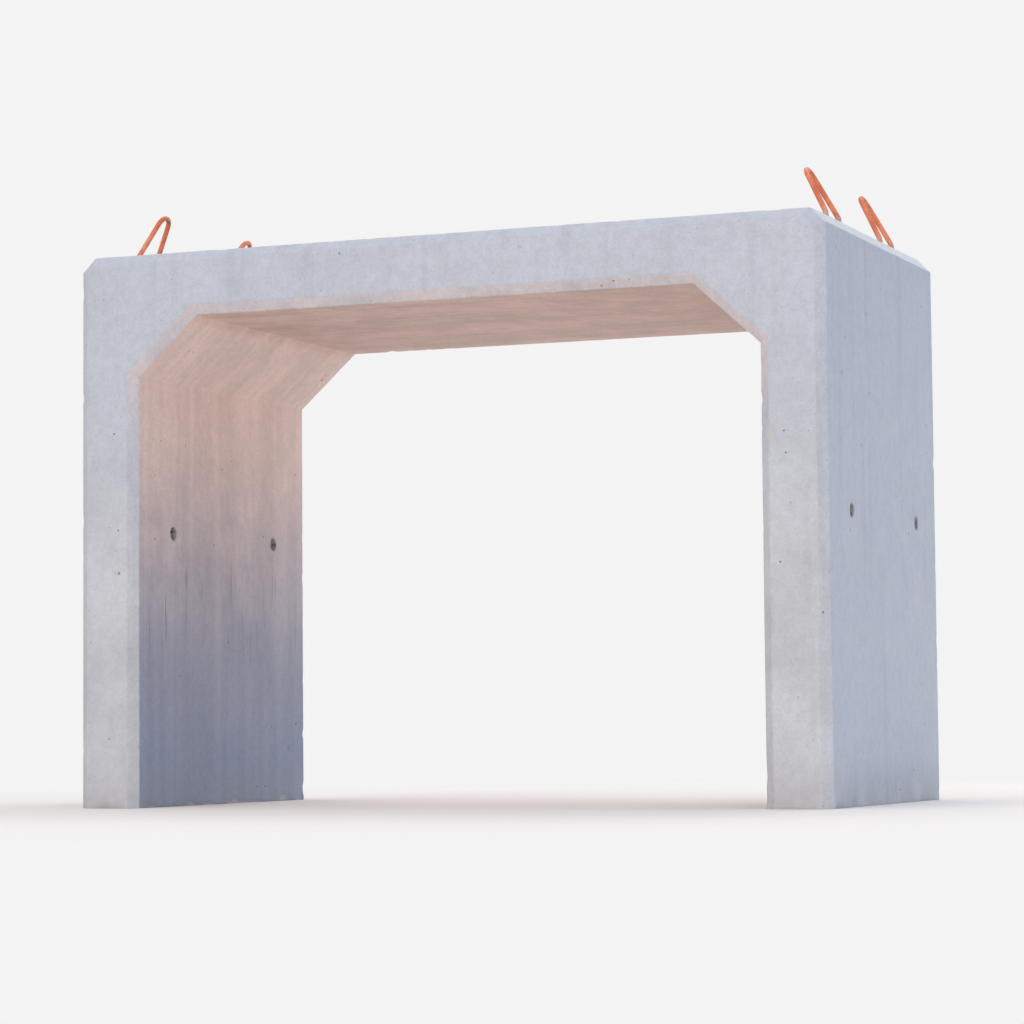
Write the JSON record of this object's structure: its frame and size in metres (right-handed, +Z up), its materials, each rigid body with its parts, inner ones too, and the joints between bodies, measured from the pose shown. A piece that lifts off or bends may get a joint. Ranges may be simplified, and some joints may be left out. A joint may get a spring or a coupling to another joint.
{
  "type": "precast u-shaped culvert",
  "caption": "Precast concrete culvert unit, u-shaped and standing on its two legs, with haunched inner corners, lifting loops and sleeved handling holes.",
  "frame": {"origin": "on the ground, at the middle of the footprint", "axes": "+X across the span, +Y along the culvert, +Z up"},
  "size_m": [2.4, 1.2, 1.8648],
  "materials": {
    "concrete": "matt, form-finished precast concrete",
    "painted_bar": "satin orange paint on round bar",
    "sleeve_plastic": "dark grey sleeve plastic"
  },
  "bodies": {
    "root": {"culvert_body": "concrete", "lifting_loop_front_left": "painted_bar", "wall_sleeve_front_left": "sleeve_plastic", "lifting_loop_back_left": "painted_bar", "wall_sleeve_back_left": "sleeve_plastic", "lifting_loop_front_right": "painted_bar", "wall_sleeve_front_right": "sleeve_plastic", "lifting_loop_back_right": "painted_bar", "wall_sleeve_back_right": "sleeve_plastic"}
  },
  "joints": []
}
